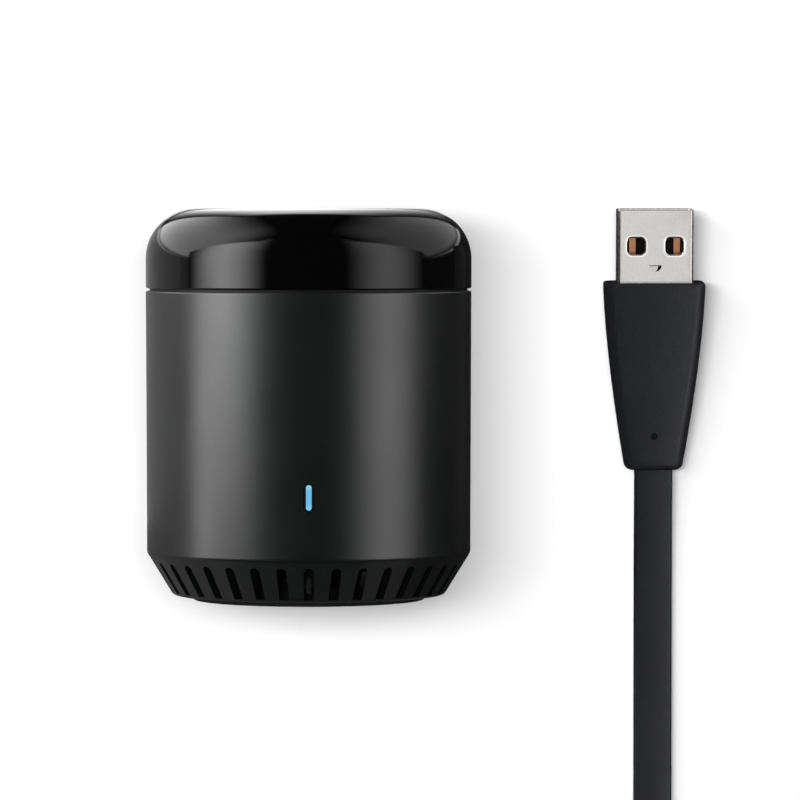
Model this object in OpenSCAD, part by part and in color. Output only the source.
// Desktop infrared hub and its power lead.
// The housing lies on its back on a table, and the unplugged lead lies flat beside it.
// Lengths are in millimetres and angles in degrees.
// The housing's pieces are drawn upright, foot down and light slit to the front, and lay_down() lays them on the table.
// +Z is up from the table, +Y runs along the housing from foot to cap, and the lead lies on the +X side.

/* [Housing] */
// Outer diameter of the housing and of its cap
body_d = 50; // [46:0.5:58]
// Height of the whole housing, from foot to cap
device_h = 60; // [52:0.5:75]
// Wall thickness of the drum
shell_wall = 2; // [1.6:0.1:2.4]
// How much each side of the drum draws in from the seam to the shoulder
wall_draft = 0.15; // [0:0.05:0.4]
// Height of the shoulder, where the tapered base meets the drum
shoulder_h = 7.3; // [6.8:0.1:7.4]
// Slope of the tapered base, from upright
base_angle = 31.6; // [24:0.2:34]
// Rounding of the lower edge of the base
base_edge_r = 1; // [0.4:0.1:1.4]
// Rounding of the shoulder
shoulder_edge_r = 1; // [0.4:0.1:2]
// Thickness of the base rim where the bottom cover sits
base_rim_t = 0.55; // [0.4:0.05:0.8]

/* [Cap] */
// Height of the gloss cap
cap_h = 12.2; // [10.5:0.1:16]
// Rounding of the cap's top edge
cap_edge_r = 7.7; // [4:0.1:9]
// Wall thickness of the cap
cap_wall = 1.6; // [1.2:0.1:2.2]
// Height of the seam between drum and cap
seam_gap = 0.4; // [0.3:0.05:0.8]
// Depth of the seam, down to the ring that shows in it
seam_depth = 0.6; // [0.3:0.05:1]

/* [Vents] */
// Number of slots round the base
vent_count = 36; // [24:12:36]
// Width of a slot
vent_w = 1.5; // [1.2:0.1:1.8]
// Height of a slot, with its round top
vent_h = 4.95; // [4:0.05:5.2]
// Height of the rim below the slots
vent_rim = 0.45; // [0.4:0.05:0.7]

/* [Foot and bottom cover] */
// How far the foot stands in from the edge of the base
foot_inset = 3; // [2.6:0.1:6]
// How far the foot stands out below the base
foot_proud = 0.75; // [0.5:0.05:1.2]
// Depth of the recess that holds the foot
foot_recess = 0.75; // [0.5:0.05:0.9]
// Thickness of the bottom cover above the foot
cover_t = 1.25; // [1:0.05:1.6]
// How far the cover's screws stand in from the cover's edge
cover_screw_inset = 3.4; // [3.2:0.1:4]
// Diameter of the cover's screws
cover_screw_d = 1.9; // [1.6:0.1:2.2]

/* [Light slit] */
// Height of the slit's middle above the foot
slit_h = 16.8; // [15:0.1:24]
// Width of the dark surround
slit_w = 1.75; // [1.6:0.05:2.4]
// Length of the dark surround
slit_l = 4.4; // [4:0.1:6]
// Width of the light guide in it
guide_w = 0.85; // [0.7:0.05:1]
// Length of the light guide in it
guide_l = 3.7; // [3:0.1:3.8]
// How deep the guide's face lies below the drum
guide_recess = 0.2; // [0.1:0.05:0.4]

/* [Reset key] */
// Width of the key in the centre slot
key_w = 0.78; // [0.6:0.02:1]
// Height of the key's face
key_h = 2.8; // [2.2:0.1:3]
// How far the key's foot lies above the slot's lower end
key_lift = 1; // [0.6:0.1:1.2]
// How deep the key's face lies below the base wall
key_recess = 0.4; // [0.3:0.05:0.6]
// Travel of the key
key_travel = 0.5; // [0.3:0.05:0.5]

/* [Boards] */
// Height of the main board's underside above the foot
board_h = 8; // [7.9:0.1:8.3]
// Thickness of the main board
board_t = 1.6; // [1.2:0.1:2]
// Gap between the main board and the drum
board_gap = 1.2; // [1:0.1:2]
// How far the posts under the main board stand in from the cover's edge
board_post_inset = 0.1; // [0.1:0.1:1]
// Diameter of the board screws
board_screw_d = 1.6; // [1.4:0.1:1.8]
// Thickness of the emitter board
emitter_board_t = 1.2; // [0.8:0.1:1.6]
// How far the collar reaches down into the drum
collar_drop = 4.4; // [3.6:0.1:6]
// How far the collar reaches up into the cap
collar_rise = 1.5; // [1:0.1:2.5]
// Wall thickness of the collar
collar_wall = 1.6; // [1.2:0.1:2]

/* [Power socket] */
// Width of the socket's metal shell
socket_w = 7.5; // [7:0.1:8]
// Height of the socket's metal shell
socket_t = 2.7; // [2.5:0.1:2.9]
// Depth of the socket
socket_l = 5.6; // [5:0.1:6]
// How deep the socket's mouth lies below the drum
socket_recess = 1.4; // [1.2:0.1:1.8]

/* [Emitters] */
// Diameter of an infrared emitter
emitter_d = 5; // [4:0.1:5.4]
// Length of an emitter, with its domed tip
emitter_l = 8.7; // [8:0.1:9.2]
// Height of the emitters' axes above their board
emitter_rise = 6.1; // [5.4:0.1:6.4]

/* [Supply plug] */
// Width of the metal shell
plug_w = 12; // [11.8:0.1:12.2]
// Thickness of the metal shell
plug_t = 4.5; // [4.4:0.05:4.6]
// Length of the metal shell outside the grip
plug_l = 11.5; // [11:0.1:12.5]
// Sheet thickness of the metal shell
plug_sheet = 0.3; // [0.25:0.05:0.4]
// Length of the grip
grip_l = 29.75; // [26:0.25:34]
// Width of the grip at its front
grip_w = 15.9; // [15:0.1:17]
// Width of the grip at its tail
grip_tail_w = 9; // [8:0.1:11]
// Thickness of the grip at its front
grip_t = 8; // [7:0.1:9]
// Thickness of the grip at its tail
grip_tail_t = 4; // [3.4:0.1:5]
// Distance of the lead's middle line from the housing's axis
lead_x = 54.5; // [50:0.5:62]
// Place of the grip's front along the housing's length
grip_front_y = 18.5; // [10:0.5:26]

/* [Cable] */
// Width of the flat cable
cable_w = 6; // [5:0.1:7]
// Thickness of the flat cable
cable_t = 1.8; // [1.5:0.1:1.85]
// Radius of the coil's outer turn
coil_r = 36; // [34:0.5:40]
// Distance from one turn of the coil to the next
coil_pitch = 2.3; // [2.3:0.05:2.6]
// Number of turns in the coil
coil_turns = 4.75; // [2.75:1:4.75]
// Width of the strap that ties the coil
tie_w = 6; // [4:0.5:8]
// Thickness of the strap
tie_t = 0.4; // [0.3:0.05:0.45]

/* [Device plug] */
// Length of the device plug's grip
small_grip_l = 18; // [16:0.5:19]
// Width of the device plug's grip
small_grip_w = 10.6; // [9.5:0.1:11]
// Thickness of the device plug's grip
small_grip_t = 7; // [6:0.1:8]
// Width of the device plug's metal shell
small_plug_w = 6.85; // [6.7:0.05:7]
// Thickness of the device plug's metal shell
small_plug_t = 1.85; // [1.75:0.05:1.95]
// Length of the device plug's metal shell outside the grip
small_plug_l = 5; // [4.6:0.1:5.4]

/* [Fits] */
// Gap between pieces that are pushed together
fit_gap = 0.1; // [0.05:0.01:0.15]
// Gap round a piece that slides
slide_gap = 0.06; // [0.04:0.01:0.09]

/* [Hidden] */
$fn = 64;
// Overrun of every cut past the face that it opens
cut = 1;
// Segments in each rounded corner of an outline
corner_steps = 6;

// Housing, worked out from the sizes above
body_r = body_d / 2;
inner_r = body_r - shell_wall;
base_z = foot_proud;
base_slope = tan(base_angle);
shoulder_r = body_r - wall_draft;
seam_edge_r = 0.25;
base_r = shoulder_r - base_slope * (shoulder_h - base_z);
base_wall_run = shell_wall / cos(base_angle);
opening_r = base_r - base_wall_run + base_slope * base_rim_t;
cap_z = device_h - cap_h;
seam_z = cap_z - seam_gap;
vent_z = base_z + vent_rim;

// Bottom cover, its screws and the foot
foot_r = base_r - foot_inset;
foot_t = foot_proud + foot_recess;
foot_edge_r = 0.3;
cover_r = opening_r - 2 * fit_gap;
cover_top = base_z + foot_recess + cover_t;
cover_pad_h = 1.2;
cover_pad_r = 3;
cover_pad_top = cover_top + cover_pad_h;
cover_screw_angles = [115, 235, 355];
cover_screw_ring = cover_r - cover_screw_inset;
screw_boss_r = 2.4;
screw_boss_gap = 0.2;
screw_boss_rib = 1.5;
screw_head_share = 1.9;
screw_head_h = 1;
screw_pilot_gap = 0.05;
screw_hole_gap = 0.2;
screw_point_share = 0.6;
cover_screw_l = 5.4;

// Main board and its screws
board_r = inner_r - board_gap;
board_top = board_h + board_t;
board_screw_angles = [65, 185, 305];
board_post_r = 2.5;
board_screw_ring = cover_r - board_post_r - board_post_inset;
board_screw_l = 5;

// Light slit and its light guide
slit_flange_lip = 0.7;
slit_flange_t = 0.8;
guide_back = 2;
guide_stem_t = 1.6;
guide_back_y = guide_back - inner_r;
bezel_drop = 0.15;
bezel_recess = guide_recess + bezel_drop;
led_w = 1.6;
led_l = 1.2;
led_t = 0.7;
led_gap = 0.25;

// Reset key and its switch
key_foot_z = vent_z + key_lift;
key_shoulder_share = 0.7;
key_tip_share = 0.3;
key_plate_w = 3.2;
key_plate_t = 0.7;
key_plate_lift = 0.7;
key_plate_z = key_foot_z + key_plate_lift;
key_wall_gap = 0.3;
key_root = 0.1;
switch_w = 4.5;
switch_depth = 2.6;
switch_drop = 4.4;
plunger_d = 1.6;
plunger_out = 1.1;
plunger_in = 1;
plunger_room = 0.3;
plunger_drop = 3.6;
plunger_y = key_wall_gap + key_plate_t + base_wall_run - base_wall_r(key_plate_z);
switch_front_y = plunger_y + plunger_out;
plunger_z = board_h - plunger_drop;

// Power socket at the back
socket_mouth_y = body_r - socket_recess;
socket_z = board_top + socket_t / 2;
socket_opening_gap = 0.4;
socket_corner_r = 0.6;
socket_sheet = 0.25;
socket_chamfer_share = 0.15;
landing_depth = 1;
landing_w = 11.6;
landing_l = 6.6;
landing_corner_r = 1.5;
tongue_t = 0.6;
tongue_w_share = 0.5;
tongue_l_share = 0.62;
tongue_block_share = 0.3;
contact_count = 5;
contact_pitch = 0.65;
contact_w = 0.35;
contact_t = 0.12;

// Parts on the main board
radio_w = 14;
radio_l = 14;
radio_t = 0.8;
radio_inset = 2.6;
radio_x = board_r - radio_w - radio_inset;
shield_margin = 1.2;
shield_h = 2;
shield_sheet = 0.2;
capacitor_d = 8;
capacitor_h = 11.5;
capacitor_groove_z = 2;
capacitor_groove_t = 0.5;
capacitor_inset = 9.8;
capacitor_angle = 135;
capacitor_place = (board_r - capacitor_inset) * [cos(capacitor_angle), sin(capacitor_angle)];
transistor_size = [2.9, 1.5, 1.1];
transistor_count = 3;
transistor_pitch = 3.6;
transistor_gap = 1.5;
transistor_inset = 11.8;
transistor_place = [
    radio_x - transistor_gap - transistor_size.x - (transistor_count - 1) * transistor_pitch,
    transistor_inset - board_r
];
transistor_leg = [0.45, 0.7, 0.4];
link_w = 9;
link_t = 2.6;
link_header_h = 2;
link_plug_h = 3.4;
link_gap = 1.3;
link_place = [radio_x - link_gap - link_w / 2, 0];
ribbon_t = 0.9;
ribbon_margin = 0.5;
ribbon_bow = 3;
ribbon_steps = 12;

// Collar and emitter board
collar_r = inner_r - fit_gap;
collar_hole_r = collar_r - collar_wall;
ledge_z = seam_z - collar_drop;
ledge_t = 1.2;
ledge_lip = 3.8;
emitter_board_z = ledge_z + ledge_t;
emitter_board_r = collar_hole_r - 2 * fit_gap;
emitter_board_top = emitter_board_z + emitter_board_t;
emitter_screw_inset = 2.1;
emitter_screw_ring = emitter_board_r - emitter_screw_inset;
emitter_screw_angles = [60, 180, 300];
emitter_boss_r = 2;
emitter_boss_h = 3.6;
emitter_screw_l = 4.4;

// Emitters and receiver
emitter_angles = [30, 90, 150, 210, 330];
emitter_back_r = 8.2;
emitter_flange_t = 1;
emitter_flange_lip = 0.4;
emitter_leg = 0.5;
emitter_leg_pitch = 2.54;
emitter_leg_out = 1.6;
emitter_up_lift = 0.8;
receiver_w = 6;
receiver_l = 6.8;
receiver_t = 3;
receiver_lens_r = 2.4;
receiver_lift = 3;
receiver_front_y = -15.5;
receiver_leg_count = 3;

// Supply plug, and how it lies on the flat of its tapered grip
grip_tilt = atan((grip_t - grip_tail_t) / 2 / grip_l);
grip_lift = grip_t / 2 * cos(grip_tilt);
grip_taper_power = 1.5;
edge_steps = 3;
taper_steps = 10;
grip_corner_r = 1.5;
grip_front_edge = 0.4;
grip_tail_edge = 1;
grip_seat_l = 3;
pin_hole_d = 1.1;
pin_hole_depth = 0.5;
pin_hole_from_tail = 5.5;
plug_corner_r = 0.6;
window_w = 2.75;
window_l = 2.55;
window_corner_r = 0.7;
window_x = 3.02;
window_from_tip = 5.7;
tab_w = 2;
tab_l = 1.2;
tab_from_tip = 9.3;
insert_t = 1.9;
insert_from_tip = 0.5;
insert_side_gap = 0.1;
plug_contact_w = 1;
plug_contact_t = 0.2;
plug_contact_l = 7;
plug_contact_from_tip = 1.2;
plug_contact_x = [-3.5, -1, 1, 3.5];

// Device plug
small_grip_tail_share = 0.68;
small_grip_corner_r = 1.2;
small_grip_edge = 0.5;
small_seat_l = 2;
small_sheet = 0.25;
small_insert_t = 0.7;
small_insert_share = 0.85;

// Points along the middle of the flat cable, from the grip's tail to the start of the coil
run_route = [
    [54.5, -11.2, 2], [54.5, -16, 1.68], [54.5, -21, 1.35], [54.5, -26, 1.1], [54.5, -31, 0.97],
    [54.5, -37, 0.95], [54.5, -44, 0.95], [54.5, -51, 0.95], [54.5, -58, 0.95], [54.5, -65, 0.95],
    [54.5, -69, 1.08], [54.5, -73, 1.4], [54.5, -77, 1.88], [54.5, -81, 2.4], [54.5, -85, 2.85],
    [54.5, -89, 3.12], [54.5, -93, 3.25], [54.5, -97, 3.35], [54.5, -101, 3.43], [54.5, -105, 3.48],
    [54.5, -109, 3.5]
];
// Where the flat cable turns onto its edge
twist_start_y = -65;
twist_end_y = -105;
// Coil, which starts where the run ends and lies on its tie
coil_lead_in = 6;
turn_rings = 24;
curl_r = 12.5;
curl_rings = 8;
curl_rise = 1.8;
curl_lead_out = 6;
tie_gap = 0.1;
tie_side_gap = 0.5;
tie_corner_r = 0.8;
cable_edge_share = 0.5;

// Length one vector
function unit(v) = v / norm(v);

// Points of one rounded corner c, between the corners a and b on either side of it
function corner_points(a, c, b, r) =
    r <= 0 ? [c] :
    let (
        u = unit(a - c),
        v = unit(b - c),
        half = acos(u * v) / 2,
        centre = c + unit(u + v) * r / sin(half),
        from = c + u * r / tan(half) - centre,
        to = c + v * r / tan(half) - centre,
        start = atan2(from.y, from.x),
        turn = (atan2(to.y, to.x) - start + 540) % 360 - 180
    )
    [
        for (i = [0:corner_steps])
            let (a = start + turn * i / corner_steps)
            centre + r * [cos(a), sin(a)]
    ];

// Closed outline from corners of the form [x, y, radius]
function rounded_outline(corners) = [
    for (i = [0:len(corners) - 1])
        let (
            n = len(corners),
            a = corners[(i + n - 1) % n],
            c = corners[i],
            b = corners[(i + 1) % n]
        )
        each corner_points([a.x, a.y], [c.x, c.y], [b.x, b.y], c.z)
];

// Rectangle of width w and length l about the origin, with rounded corners
function rectangle_outline(w, l, r) = rounded_outline([
    [-w / 2, -l / 2, r], [w / 2, -l / 2, r], [w / 2, l / 2, r], [-w / 2, l / 2, r]
]);

// Slot of width w and length l about the origin, with round ends
function slot_outline(w, l) = [
    for (end = [1, -1], i = [0:2 * corner_steps])
        let (a = 90 - 90 * end + 90 * i / corner_steps)
        [w / 2 * cos(a), end * (l - w) / 2 + w / 2 * sin(a)]
];

// Upright slot that stands on the origin, flat below and round above
function arch_outline(w, h) = [
    [-w / 2, 0],
    [w / 2, 0],
    for (i = [0:2 * corner_steps])
        let (a = 90 * i / corner_steps)
        [w / 2 * cos(a), h - w / 2 + w / 2 * sin(a)]
];

// Outer radius of the tapered base at height z
function base_wall_r(z) = base_r + base_slope * (z - base_z);

// Lays an upright piece on its back on the table
module lay_down() {
    translate([0, -device_h / 2, body_r])
        rotate([-90, 0, 0])
            children();
}

// Puts children round the housing's axis at the angles and the radius given
module around(angles, r) {
    for (a = angles)
        rotate([0, 0, a])
            translate([r, 0, 0])
                children();
}

// Extrudes an outline of [x, z] points forwards, from the plane at y
module extrude_front(y, depth) {
    translate([0, y, 0])
        rotate([90, 0, 0])
            linear_extrude(depth)
                children();
}

// Extrudes an outline of [y, z] points sideways, centred on the housing's middle plane
module extrude_side(width) {
    rotate([90, 0, 90])
        linear_extrude(width, center = true)
            children();
}

// Pan-head screw that points up, with its shank's foot at the origin
module pan_screw(d, length) {
    head_r = d / 2 * screw_head_share;
    translate([0, 0, -screw_head_h])
        cylinder(r = head_r, h = screw_head_h);
    cylinder(d = d, h = length - d / 2);
    translate([0, 0, length - d / 2])
        cylinder(d1 = d, d2 = d * screw_point_share, h = d / 2);
}

// Gloss cap
module cap_outline(r, h, edge) {
    square([r - edge, h]);
    square([r, h - edge]);
    translate([r - edge, h - edge])
        intersection() {
            circle(edge);
            square(edge);
        }
}

module ir_cap() {
    color("#0a0a0b")
        lay_down()
            translate([0, 0, cap_z])
                rotate_extrude($fn = 128)
                    difference() {
                        cap_outline(body_r, cap_h, cap_edge_r);
                        translate([0, -cut])
                            cap_outline(body_r - cap_wall, cap_h - cap_wall + cut, cap_edge_r - cap_wall);
                    }
}

// Collar that joins the cap to the drum and carries the emitter board on its ledge
module cap_collar() {
    color("#131415")
        lay_down()
            difference() {
                union() {
                    rotate_extrude($fn = 128)
                        polygon([
                            [collar_hole_r - ledge_lip, ledge_z],
                            [collar_r, ledge_z],
                            [collar_r, seam_z],
                            [body_r - seam_depth, seam_z],
                            [body_r - seam_depth, cap_z],
                            [body_r - cap_wall - fit_gap, cap_z],
                            [body_r - cap_wall - fit_gap, cap_z + collar_rise],
                            [collar_hole_r, cap_z + collar_rise],
                            [collar_hole_r, emitter_board_z],
                            [collar_hole_r - ledge_lip, emitter_board_z]
                        ]);
                    around(emitter_screw_angles, emitter_screw_ring)
                        translate([0, 0, ledge_z - emitter_boss_h])
                            cylinder(r = emitter_boss_r, h = emitter_boss_h + ledge_t / 2);
                }
                around(emitter_screw_angles, emitter_screw_ring)
                    translate([0, 0, ledge_z - emitter_boss_h - cut])
                        cylinder(d = board_screw_d + 2 * screw_pilot_gap, h = emitter_boss_h + ledge_t + 2 * cut);
            }
}

// Matte drum with its tapered, slotted base
module drum_solid(inset) {
    rotate_extrude()
        polygon([
            [0, base_z],
            [base_r - inset, base_z],
            [shoulder_r - inset, shoulder_h],
            [body_r - inset, seam_z],
            [0, seam_z]
        ]);
}

module vent_cutter() {
    translate([opening_r - cut, 0, vent_z])
        rotate([90, 0, 90])
            linear_extrude(body_r - opening_r + 2 * cut)
                polygon(arch_outline(vent_w, vent_h));
}

module cover_screw_boss() {
    foot_z = cover_pad_top + screw_boss_gap;
    height = board_h - screw_boss_gap - foot_z;
    difference() {
        union() {
            translate([0, 0, foot_z])
                cylinder(r = screw_boss_r, h = height);
            intersection() {
                translate([0, -screw_boss_rib / 2, foot_z])
                    cube([body_r - cover_screw_ring, screw_boss_rib, height]);
                translate([-cover_screw_ring, 0, 0])
                    drum_solid(shell_wall / 2);
            }
        }
        translate([0, 0, foot_z - cut])
            cylinder(d = cover_screw_d + 2 * screw_pilot_gap, h = height + 2 * cut);
    }
}

module socket_cutter() {
    wide = socket_w + 2 * socket_opening_gap;
    high = socket_t + 2 * socket_opening_gap;
    translate([0, 0, socket_z]) {
        extrude_front(body_r + cut, body_r - inner_r + 2 * cut)
            polygon(rectangle_outline(wide, high, socket_corner_r));
        extrude_front(body_r + cut, landing_depth + cut)
            polygon(rectangle_outline(landing_w, landing_l, landing_corner_r));
    }
}

module body_shell() {
    inner_shoulder_z = base_z + (inner_r - base_r + base_wall_run) / base_slope;
    color("#26292b")
        lay_down() {
            difference() {
                rotate_extrude($fn = 128)
                    polygon(rounded_outline([
                        [opening_r, base_z, 0],
                        [base_r, base_z, base_edge_r],
                        [shoulder_r, shoulder_h, shoulder_edge_r],
                        [body_r, seam_z, seam_edge_r],
                        [inner_r, seam_z, 0],
                        [inner_r, inner_shoulder_z, 0],
                        [opening_r, base_z + base_rim_t, 0]
                    ]));
                around([for (i = [0:vent_count - 1]) i * 360 / vent_count - 90], 0)
                    vent_cutter();
                translate([0, 0, slit_h])
                    extrude_front(cut - inner_r, shell_wall + 2 * cut)
                        polygon(slot_outline(slit_w, slit_l));
                socket_cutter();
            }
            around(cover_screw_angles, cover_screw_ring)
                cover_screw_boss();
        }
}

// Light slit: dark surround, light guide and its lamp
module indicator_bezel() {
    front_y = bezel_recess - body_r;
    flange_y = fit_gap - inner_r;
    color("#050505")
        lay_down()
            translate([0, 0, slit_h])
                difference() {
                    union() {
                        extrude_front(flange_y, flange_y - front_y)
                            polygon(slot_outline(slit_w - 2 * slide_gap, slit_l - 2 * slide_gap));
                        extrude_front(flange_y + slit_flange_t, slit_flange_t)
                            polygon(slot_outline(slit_w + 2 * slit_flange_lip, slit_l + 2 * slit_flange_lip));
                    }
                    extrude_front(flange_y + slit_flange_t + cut, body_r)
                        polygon(slot_outline(guide_w + 2 * slide_gap, guide_l + 2 * slide_gap));
                }
}

module indicator_window() {
    front_y = guide_recess - body_r;
    stem_z = board_top + led_t + led_gap;
    color("#6ec3f0")
        lay_down() {
            translate([0, 0, slit_h])
                extrude_front(guide_back_y + guide_stem_t, guide_back_y + guide_stem_t - front_y)
                    polygon(slot_outline(guide_w, guide_l));
            translate([-guide_w / 2, guide_back_y, stem_z])
                cube([guide_w, guide_stem_t, slit_h - stem_z]);
        }
}

module indicator_led() {
    color("#f4f4ee")
        lay_down()
            translate([-led_w / 2, guide_back_y + guide_stem_t / 2 - led_l / 2, board_top])
                cube([led_w, led_l, led_t]);
}

// Reset key in the centre slot, and the side-pressed switch behind it
module reset_key() {
    key_top_z = key_foot_z + key_h;
    color("#2c2d2e")
        lay_down() {
            intersection() {
                extrude_side(key_w)
                    polygon([
                        [plunger_y - key_plate_t + key_root, key_foot_z],
                        [key_recess - base_wall_r(key_foot_z), key_foot_z],
                        [key_recess - base_wall_r(key_top_z), key_top_z],
                        [plunger_y - key_plate_t + key_root, key_top_z]
                    ]);
                extrude_front(0, body_r)
                    polygon([
                        [-key_w / 2, key_foot_z],
                        [key_w / 2, key_foot_z],
                        [key_w / 2, key_foot_z + key_h * key_shoulder_share],
                        [key_w / 2 * key_tip_share, key_top_z],
                        [-key_w / 2 * key_tip_share, key_top_z],
                        [-key_w / 2, key_foot_z + key_h * key_shoulder_share]
                    ]);
            }
            translate([-key_plate_w / 2, plunger_y - key_plate_t, key_plate_z])
                cube([key_plate_w, key_plate_t, key_h]);
        }
}

module switch_plunger() {
    color("#d8d2c4")
        lay_down()
            translate([0, 0, plunger_z])
                extrude_front(switch_front_y + plunger_in, plunger_in + plunger_out)
                    circle(d = plunger_d);
}

module reset_switch() {
    bore = plunger_in + key_travel + plunger_room;
    color("#1b1b1c")
        lay_down()
            difference() {
                translate([-switch_w / 2, switch_front_y, board_h - switch_drop])
                    cube([switch_w, switch_depth, switch_drop]);
                translate([0, 0, plunger_z])
                    extrude_front(switch_front_y + bore, bore + cut)
                        circle(d = plunger_d + 2 * slide_gap);
            }
}

// Bottom cover with the posts that carry the main board
module bottom_cover() {
    seat_z = base_z + foot_recess;
    color("#1d1e1f")
        lay_down()
            difference() {
                union() {
                    translate([0, 0, base_z])
                        cylinder(r = cover_r, h = cover_top - base_z, $fn = 128);
                    around(cover_screw_angles, cover_screw_ring)
                        translate([0, 0, base_z])
                            cylinder(r = cover_pad_r, h = cover_pad_top - base_z);
                    around(board_screw_angles, board_screw_ring)
                        translate([0, 0, cover_top - cover_t / 2])
                            cylinder(r = board_post_r, h = board_h - cover_top + cover_t / 2);
                }
                translate([0, 0, base_z - cut])
                    cylinder(r = foot_r + fit_gap, h = foot_recess + cut, $fn = 128);
                around(cover_screw_angles, cover_screw_ring) {
                    cylinder(d = cover_screw_d + 2 * screw_hole_gap, h = cover_pad_top + cut);
                    cylinder(
                        r = cover_screw_d / 2 * screw_head_share + screw_hole_gap,
                        h = seat_z + fit_gap + screw_head_h
                    );
                }
                around(board_screw_angles, board_screw_ring)
                    translate([0, 0, board_top - board_screw_l - screw_hole_gap])
                        cylinder(d = board_screw_d + 2 * screw_pilot_gap, h = board_screw_l + cut);
            }
}

module cover_screws() {
    color("#b9bcc0")
        lay_down()
            around(cover_screw_angles, cover_screw_ring)
                translate([0, 0, base_z + foot_recess + fit_gap + screw_head_h])
                    pan_screw(cover_screw_d, cover_screw_l);
}

module foot_pad() {
    color("#17181a")
        lay_down()
            rotate_extrude($fn = 128)
                polygon(rounded_outline([
                    [0, 0, 0],
                    [foot_r, 0, foot_edge_r],
                    [foot_r, foot_t, 0],
                    [0, foot_t, 0]
                ]));
}

// Main board with its screws
module main_board() {
    color("#1f5a3a")
        lay_down()
            difference() {
                translate([0, 0, board_h])
                    cylinder(r = board_r, h = board_t, $fn = 128);
                around(board_screw_angles, board_screw_ring)
                    translate([0, 0, board_h - cut])
                        cylinder(d = board_screw_d + 2 * screw_hole_gap, h = board_t + 2 * cut);
            }
}

module board_screws() {
    color("#b9bcc0")
        lay_down()
            around(board_screw_angles, board_screw_ring)
                translate([0, 0, board_top])
                    rotate([180, 0, 0])
                        pan_screw(board_screw_d, board_screw_l);
}

// Power socket, open towards the back, with its chamfered shell
function socket_outline(w, t) = [
    [-w / 2, t / 2],
    [-w / 2, -t * socket_chamfer_share],
    [t / 2 - t * socket_chamfer_share - w / 2, -t / 2],
    [w / 2 - t / 2 + t * socket_chamfer_share, -t / 2],
    [w / 2, -t * socket_chamfer_share],
    [w / 2, t / 2]
];

module power_socket_shell() {
    color("#c9ccd0")
        lay_down()
            translate([0, 0, socket_z])
                extrude_front(socket_mouth_y, socket_l)
                    difference() {
                        polygon(socket_outline(socket_w, socket_t));
                        polygon(socket_outline(socket_w - 2 * socket_sheet, socket_t - 2 * socket_sheet));
                    }
}

module power_socket_tongue() {
    back_y = socket_mouth_y - socket_l;
    block_l = socket_l * tongue_block_share;
    tongue_w = socket_w * tongue_w_share;
    color("#202122")
        lay_down()
            translate([0, 0, socket_z]) {
                extrude_front(back_y + block_l, block_l)
                    polygon(socket_outline(
                        socket_w - 2 * socket_sheet - 2 * fit_gap,
                        socket_t - 2 * socket_sheet - 2 * fit_gap
                    ));
                translate([-tongue_w / 2, back_y + block_l / 2, 0])
                    cube([tongue_w, block_l / 2 + socket_l * tongue_l_share, tongue_t]);
            }
}

module power_socket_contacts() {
    back_y = socket_mouth_y - socket_l + socket_l * tongue_block_share;
    color("#c9a24a")
        lay_down()
            for (i = [0:contact_count - 1])
                translate([
                    (i - (contact_count - 1) / 2) * contact_pitch - contact_w / 2,
                    back_y,
                    socket_z - contact_t
                ])
                    cube([contact_w, socket_l * tongue_l_share - fit_gap, contact_t]);
}

// Parts on the main board
module radio_module() {
    color("#10352a")
        lay_down()
            translate([radio_x, -radio_l / 2, board_top])
                cube([radio_w, radio_l, radio_t]);
}

module radio_shield() {
    wide = radio_w - 2 * shield_margin;
    long = radio_l - 2 * shield_margin;
    color("#c4c6c8")
        lay_down()
            translate([radio_x + shield_margin, -long / 2, board_top + radio_t])
                difference() {
                    cube([wide, long, shield_h]);
                    translate([shield_sheet, shield_sheet, -cut])
                        cube([wide - 2 * shield_sheet, long - 2 * shield_sheet, shield_h - shield_sheet + cut]);
                }
}

module smoothing_capacitor() {
    r = capacitor_d / 2;
    color("#2b3a55")
        lay_down()
            translate([capacitor_place.x, capacitor_place.y, board_top])
                rotate_extrude()
                    polygon([
                        [0, 0],
                        [r, 0],
                        [r, capacitor_groove_z],
                        [r - capacitor_groove_t, capacitor_groove_z + capacitor_groove_t],
                        [r, capacitor_groove_z + 2 * capacitor_groove_t],
                        [r, capacitor_h - capacitor_groove_t],
                        [r - capacitor_groove_t, capacitor_h],
                        [0, capacitor_h]
                    ]);
}

module driver_transistors() {
    color("#1a1a1a")
        lay_down()
            for (i = [0:transistor_count - 1])
                translate([transistor_place.x + i * transistor_pitch, transistor_place.y, board_top]) {
                    translate([0, 0, transistor_leg.z / 2])
                        cube(transistor_size);
                    for (x = [0, 1])
                        translate([x * (transistor_size.x - transistor_leg.x), -transistor_leg.y, 0])
                            cube([transistor_leg.x, transistor_leg.y * 2, transistor_leg.z]);
                    translate([(transistor_size.x - transistor_leg.x) / 2, transistor_size.y - transistor_leg.y, 0])
                        cube([transistor_leg.x, transistor_leg.y * 2, transistor_leg.z]);
                }
}

// Flat link between the boards, and the headers that it plugs onto
module link_headers() {
    color("#e8e4d8")
        lay_down()
            for (z = [board_top, emitter_board_z - link_header_h])
                translate([link_place.x - link_w / 2, link_place.y - link_t / 2, z])
                    cube([link_w, link_t, link_header_h]);
}

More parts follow.
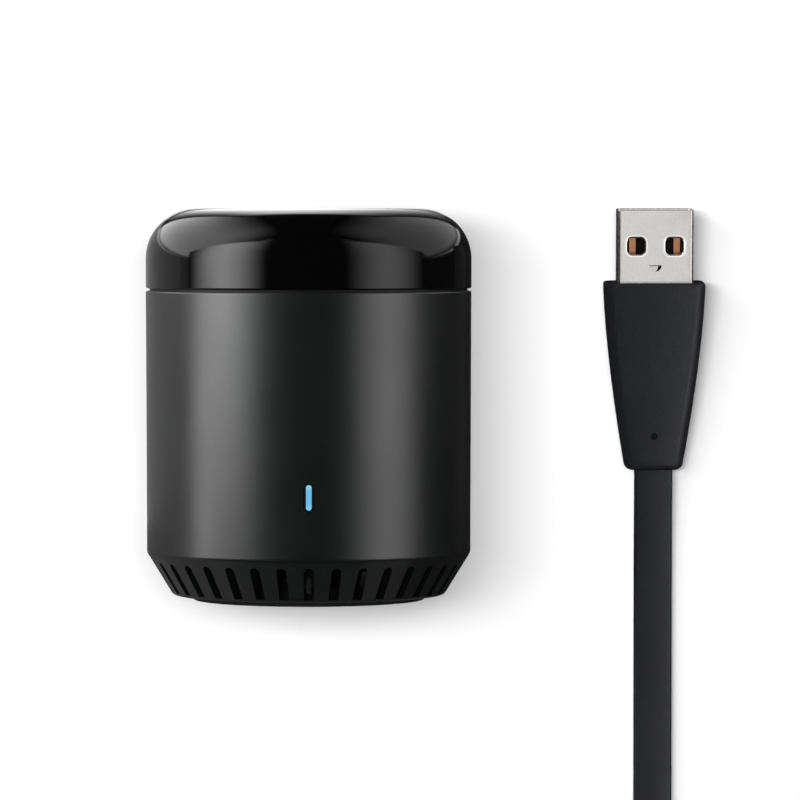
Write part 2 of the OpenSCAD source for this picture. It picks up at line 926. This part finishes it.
module board_link() {
    low_z = board_top + link_header_h;
    high_z = emitter_board_z - link_header_h;
    ribbon_low = low_z + link_plug_h / 2;
    ribbon_high = high_z - link_plug_h / 2;
    bow = [
        for (i = [0:ribbon_steps])
            let (u = i / ribbon_steps)
            [-ribbon_bow * (1 - cos(360 * u)) / 2, ribbon_low + u * (ribbon_high - ribbon_low)]
    ];
    color("#dcdcd6")
        lay_down()
            translate([link_place.x, link_place.y, 0]) {
                for (z = [low_z, high_z - link_plug_h])
                    translate([-link_w / 2, -link_t / 2, z])
                        cube([link_w, link_t, link_plug_h]);
                extrude_side(link_w - 2 * ribbon_margin)
                    polygon(concat(
                        [for (p = bow) p + [ribbon_t / 2, 0]],
                        [for (i = [0:ribbon_steps]) bow[ribbon_steps - i] - [ribbon_t / 2, 0]]
                    ));
            }
}

// Emitter board under the cap, with its screws, emitters and receiver
module emitter_board() {
    color("#1f5a3a")
        lay_down()
            difference() {
                translate([0, 0, emitter_board_z])
                    cylinder(r = emitter_board_r, h = emitter_board_t, $fn = 128);
                around(emitter_screw_angles, emitter_screw_ring)
                    translate([0, 0, emitter_board_z - cut])
                        cylinder(d = board_screw_d + 2 * screw_hole_gap, h = emitter_board_t + 2 * cut);
            }
}

module emitter_board_screws() {
    color("#b9bcc0")
        lay_down()
            around(emitter_screw_angles, emitter_screw_ring)
                translate([0, 0, emitter_board_top])
                    rotate([180, 0, 0])
                        pan_screw(board_screw_d, emitter_screw_l);
}

module emitter_body() {
    r = emitter_d / 2;
    rotate_extrude()
        polygon([
            [0, 0],
            [r + emitter_flange_lip, 0],
            [r + emitter_flange_lip, emitter_flange_t],
            [r, emitter_flange_t],
            for (i = [0:corner_steps])
                let (a = 90 * i / corner_steps)
                [r * cos(a), emitter_l - r + r * sin(a)]
        ]);
}

module emitter_legs(drop) {
    for (y = [-1, 1])
        translate([0, y * emitter_leg_pitch / 2 - emitter_leg / 2, 0]) {
            translate([-emitter_leg_out - emitter_leg, 0, -emitter_leg / 2])
                cube([emitter_leg_out + emitter_leg, emitter_leg, emitter_leg]);
            translate([-emitter_leg_out - emitter_leg, 0, -drop])
                cube([emitter_leg, emitter_leg, drop]);
        }
}

module ir_emitters() {
    color("#3a3f52")
        lay_down() {
            around(emitter_angles, emitter_back_r)
                translate([0, 0, emitter_board_top + emitter_rise]) {
                    rotate([0, 90, 0])
                        emitter_body();
                    emitter_legs(emitter_rise);
                }
            translate([0, 0, emitter_board_top + emitter_up_lift])
                emitter_body();
            for (y = [-1, 1])
                translate([-emitter_leg / 2, y * emitter_leg_pitch / 2 - emitter_leg / 2, emitter_board_top])
                    cube([emitter_leg, emitter_leg, emitter_up_lift]);
        }
}

module ir_receiver() {
    foot_z = emitter_board_top + receiver_lift;
    color("#16171a")
        lay_down()
            translate([0, receiver_front_y, 0]) {
                translate([-receiver_w / 2, 0, foot_z])
                    cube([receiver_w, receiver_t, receiver_l]);
                translate([0, receiver_t / 2, foot_z + receiver_l / 2])
                    intersection() {
                        sphere(receiver_lens_r + receiver_t / 2);
                        translate([-receiver_w / 2, -receiver_w, -receiver_l / 2])
                            cube([receiver_w, receiver_w, receiver_l]);
                    }
                for (i = [0:receiver_leg_count - 1])
                    translate([
                        (i - (receiver_leg_count - 1) / 2) * emitter_leg_pitch - emitter_leg / 2,
                        receiver_t / 2,
                        emitter_board_top
                    ])
                        cube([emitter_leg, emitter_leg, receiver_lift + emitter_leg]);
            }
}

// Supply plug: its metal shell, insert, contacts and grip lie on the flat of the tapered grip
module place_supply_plug() {
    translate([lead_x, grip_front_y, grip_lift])
        rotate([grip_tilt, 0, 0])
            children();
}

// Extrudes an outline of [x, z] points forwards, from the plane at y towards the plug's tip
module extrude_tip(y, length) {
    translate([0, y + length, 0])
        rotate([90, 0, 0])
            linear_extrude(length)
                children();
}

module supply_plug_shell() {
    color("#c9c8c6")
        place_supply_plug()
            difference() {
                extrude_tip(-grip_seat_l, grip_seat_l + plug_l)
                    difference() {
                        polygon(rectangle_outline(plug_w, plug_t, plug_corner_r));
                        polygon(rectangle_outline(
                            plug_w - 2 * plug_sheet,
                            plug_t - 2 * plug_sheet,
                            plug_corner_r - plug_sheet
                        ));
                    }
                for (x = [-window_x, window_x])
                    translate([x, plug_l - window_from_tip, -plug_t / 2 - cut])
                        linear_extrude(plug_t + 2 * cut)
                            polygon(rectangle_outline(window_w, window_l, window_corner_r));
                translate([0, plug_l - tab_from_tip, 0])
                    linear_extrude(plug_t)
                        intersection() {
                            translate([0, tab_l / 2])
                                circle(d = tab_w);
                            square([tab_w, tab_l], center = true);
                        }
            }
}

module supply_plug_insert() {
    wide = plug_w - 2 * plug_sheet - 2 * insert_side_gap;
    high = plug_t - 2 * plug_sheet - 2 * insert_side_gap;
    color("#0c0c0d")
        place_supply_plug()
            translate([-wide / 2, -grip_seat_l, -high / 2]) {
                cube([wide, grip_seat_l + plug_l - insert_from_tip, insert_t]);
                cube([wide, grip_seat_l, high]);
            }
}

module supply_plug_contacts() {
    insert_top = insert_t - plug_t / 2 + plug_sheet + insert_side_gap;
    color("#b9774f")
        place_supply_plug()
            for (x = plug_contact_x)
                translate([x - plug_contact_w / 2, plug_l - plug_contact_from_tip - plug_contact_l, insert_top])
                    cube([plug_contact_w, plug_contact_l, plug_contact_t]);
}

// Section of a grip at the place u along it, with its edges drawn in by e
function grip_half(front, tail, power, u) = (front - (front - tail) * pow(u, power)) / 2;

function grip_ring(u, e, length, front, tail, power, r) =
    let (
        w = grip_half(front.x, tail.x, power, u) - e,
        t = grip_half(front.y, tail.y, 1, u) - e,
        c = max(r - e, r / 4)
    )
    [
        for (p = rectangle_outline(2 * w, 2 * t, c))
            [p.x, -u * length, p.y]
    ];

// Stations along a grip, as [place, inset]: a rounded front edge, the long taper and a rounded tail edge
function grip_stations(length, front_edge, tail_edge) = concat(
    [
        for (i = [0:edge_steps - 1])
            let (a = 90 * i / edge_steps)
            [front_edge * (1 - cos(a)) / length, front_edge * (1 - sin(a))]
    ],
    [
        for (i = [0:taper_steps])
            [(front_edge + (length - front_edge - tail_edge) * i / taper_steps) / length, 0]
    ],
    [
        for (i = [1:edge_steps])
            let (a = 90 * i / edge_steps)
            [1 - tail_edge * (1 - sin(a)) / length, tail_edge * (1 - cos(a))]
    ]
);

// Faces of a tube of rings, each with the same number of sides, closed at both ends
function tube_faces(rings, sides) = concat(
    [
        for (i = [0:rings - 2], j = [0:sides - 1])
            let (a = i * sides + j, b = i * sides + (j + 1) % sides)
            each [[a, b, b + sides], [a, b + sides, a + sides]]
    ],
    [for (j = [1:sides - 2]) [0, j + 1, j]],
    [
        for (j = [1:sides - 2])
            let (a = (rings - 1) * sides)
            [a, a + j, a + j + 1]
    ]
);

module tube(rings) {
    polyhedron(points = [for (ring = rings) each ring], faces = tube_faces(len(rings), len(rings[0])));
}

module supply_plug_grip() {
    mark_u = 1 - pin_hole_from_tail / grip_l;
    mark_z = grip_half(grip_t, grip_tail_t, 1, mark_u);
    color("#232427")
        place_supply_plug()
            difference() {
                tube([
                    for (s = grip_stations(grip_l, grip_front_edge, grip_tail_edge))
                        grip_ring(
                            s.x, s.y, grip_l, [grip_w, grip_t], [grip_tail_w, grip_tail_t],
                            grip_taper_power, grip_corner_r
                        )
                ]);
                translate([-plug_w / 2 - fit_gap, -grip_seat_l - fit_gap, -plug_t / 2 - fit_gap])
                    cube([plug_w + 2 * fit_gap, grip_seat_l + fit_gap + cut, plug_t + 2 * fit_gap]);
                translate([0, -grip_l * mark_u, mark_z - pin_hole_depth])
                    cylinder(d = pin_hole_d, h = grip_t, $fn = 24);
            }
}

// Flat cable: one octagon across the route for each ring, turned by roll from lying flat to standing on edge
cable_section = let (w = cable_w / 2, t = cable_t / 2, e = cable_t / 2 * cable_edge_share) [
    [w, -t + e], [w, t - e], [w - e, t], [e - w, t], [-w, t - e], [-w, e - t], [e - w, -t], [w - e, -t]
];

function cable_ring(p, heading, roll) =
    let (
        side = unit(cross(heading, [0, 0, 1])),
        up = cross(side, heading),
        wide = cos(roll) * side + sin(roll) * up,
        thin = cross(heading, wide)
    )
    [for (q = cable_section) p + q.x * wide + q.y * thin];

function heading_at(route, i) = unit(route[min(i + 1, len(route) - 1)] - route[max(i - 1, 0)]);

// Share of the half turn between a and b, eased at both ends
function eased(a, b, y) =
    let (u = min(max((y - a) / (b - a), 0), 1))
    (1 - cos(180 * u)) / 2;

module cable_run() {
    last = len(run_route) - 1;
    color("#242528")
        tube([
            for (i = [0:last])
                cable_ring(
                    run_route[i],
                    i == last ? [0, -1, 0] : heading_at(run_route, i),
                    90 * eased(twist_start_y, twist_end_y, run_route[i].y)
                )
        ]);
}

// Coil: a straight lead-in, the turns, a tighter curl inwards and a straight lead-out to the device plug
coil_start = run_route[len(run_route) - 1];
coil_middle = coil_start - [coil_r, coil_lead_in, 0];
coil_end_r = coil_r - coil_pitch * coil_turns;
coil_end_angle = -360 * coil_turns;
curl_middle = coil_middle + (coil_end_r - curl_r) * [cos(coil_end_angle), sin(coil_end_angle), 0];
turn_route = [
    for (i = [0:turn_rings * coil_turns])
        let (a = -360 * i / turn_rings, r = coil_r - coil_pitch * i / turn_rings)
        coil_middle + r * [cos(a), sin(a), 0]
];
curl_route = [
    for (i = [1:curl_rings])
        let (a = coil_end_angle - 90 * i / curl_rings)
        curl_middle + curl_r * [cos(a), sin(a), 0] + [0, 0, curl_rise * (1 - cos(180 * i / curl_rings)) / 2]
];
plug_heading = [sin(coil_end_angle - 90), -cos(coil_end_angle - 90), 0];
curl_end = curl_route[curl_rings - 1];
coil_route = concat(
    [coil_start],
    turn_route,
    curl_route,
    [curl_end + curl_lead_out / 2 * plug_heading, curl_end + curl_lead_out * plug_heading]
);
coil_gap = min([
    for (i = [0:len(turn_route) - turn_rings - 1])
        norm(turn_route[i] - turn_route[i + turn_rings])
]) - cable_t;
echo(coil_least_gap = coil_gap);

module cable_coil() {
    last = len(coil_route) - 1;
    color("#242528")
        tube([
            for (i = [0:last])
                cable_ring(
                    coil_route[i],
                    i <= 1 ? [0, -1, 0] : i >= last - 1 ? plug_heading : heading_at(coil_route, i),
                    90
                )
        ]);
}

// Strap round the coil, on the side away from the lead-in
module cable_tie() {
    outer_r = coil_r - coil_pitch / 2 + cable_t / 2 + tie_side_gap;
    inner_r_here = coil_r - coil_pitch * (floor(coil_turns - 1 / 2) + 1 / 2) - cable_t / 2 - tie_side_gap;
    width = outer_r - inner_r_here;
    height = cable_w + 2 * tie_gap;
    color("#101011")
        translate(coil_middle - [(outer_r + inner_r_here) / 2, 0, 0])
            rotate([90, 0, 0])
                linear_extrude(tie_w, center = true)
                    difference() {
                        polygon(rectangle_outline(width + 2 * tie_t, height + 2 * tie_t, tie_corner_r));
                        polygon(rectangle_outline(width, height, tie_corner_r - tie_t));
                    }
}

// Device plug on the inner end of the coil, standing on its edge like the cable
module place_device_plug() {
    translate(coil_route[len(coil_route) - 1])
        rotate([0, 0, coil_end_angle - 270])
            rotate([0, 90, 0])
                translate([0, small_grip_l, 0])
                    children();
}

function small_plug_outline(w, t) = [
    [-w / 2, t / 2],
    [-w / 2, 0],
    [t / 2 - w / 2, -t / 2],
    [w / 2 - t / 2, -t / 2],
    [w / 2, 0],
    [w / 2, t / 2]
];

module device_plug_grip() {
    front = [small_grip_w, small_grip_t];
    color("#232427")
        place_device_plug()
            difference() {
                tube([
                    for (s = grip_stations(small_grip_l, small_grip_edge, small_grip_edge))
                        grip_ring(
                            s.x, s.y, small_grip_l, front, front * small_grip_tail_share,
                            grip_taper_power, small_grip_corner_r
                        )
                ]);
                translate([
                    -small_plug_w / 2 - fit_gap,
                    -small_seat_l - fit_gap,
                    -small_plug_t / 2 - fit_gap
                ])
                    cube([
                        small_plug_w + 2 * fit_gap,
                        small_seat_l + fit_gap + cut,
                        small_plug_t + 2 * fit_gap
                    ]);
            }
}

module device_plug_shell() {
    color("#c9c8c6")
        place_device_plug()
            extrude_tip(-small_seat_l, small_seat_l + small_plug_l)
                difference() {
                    polygon(small_plug_outline(small_plug_w, small_plug_t));
                    polygon(small_plug_outline(small_plug_w - 2 * small_sheet, small_plug_t - 2 * small_sheet));
                }
}

module device_plug_insert() {
    wide = (small_plug_w - small_plug_t) * small_insert_share;
    color("#0c0c0d")
        place_device_plug()
            translate([-wide / 2, -small_seat_l, small_sheet + fit_gap / 2 - small_plug_t / 2])
                cube([wide, small_seat_l + small_plug_l - small_sheet, small_insert_t]);
}

module device_plug_contacts() {
    color("#b9774f")
        place_device_plug()
            for (i = [0:contact_count - 1])
                translate([
                    (i - (contact_count - 1) / 2) * contact_pitch - contact_w / 2,
                    0,
                    small_sheet + fit_gap / 2 - small_plug_t / 2 + small_insert_t
                ])
                    cube([contact_w, small_plug_l - 2 * small_sheet, contact_t]);
}

ir_cap();
cap_collar();
body_shell();
indicator_bezel();
indicator_window();
indicator_led();
reset_key();
switch_plunger();
reset_switch();
bottom_cover();
cover_screws();
foot_pad();
main_board();
board_screws();
power_socket_shell();
power_socket_tongue();
power_socket_contacts();
radio_module();
radio_shield();
smoothing_capacitor();
driver_transistors();
link_headers();
board_link();
emitter_board();
emitter_board_screws();
ir_emitters();
ir_receiver();
supply_plug_shell();
supply_plug_insert();
supply_plug_contacts();
supply_plug_grip();
cable_run();
cable_coil();
cable_tie();
device_plug_grip();
device_plug_shell();
device_plug_insert();
device_plug_contacts();
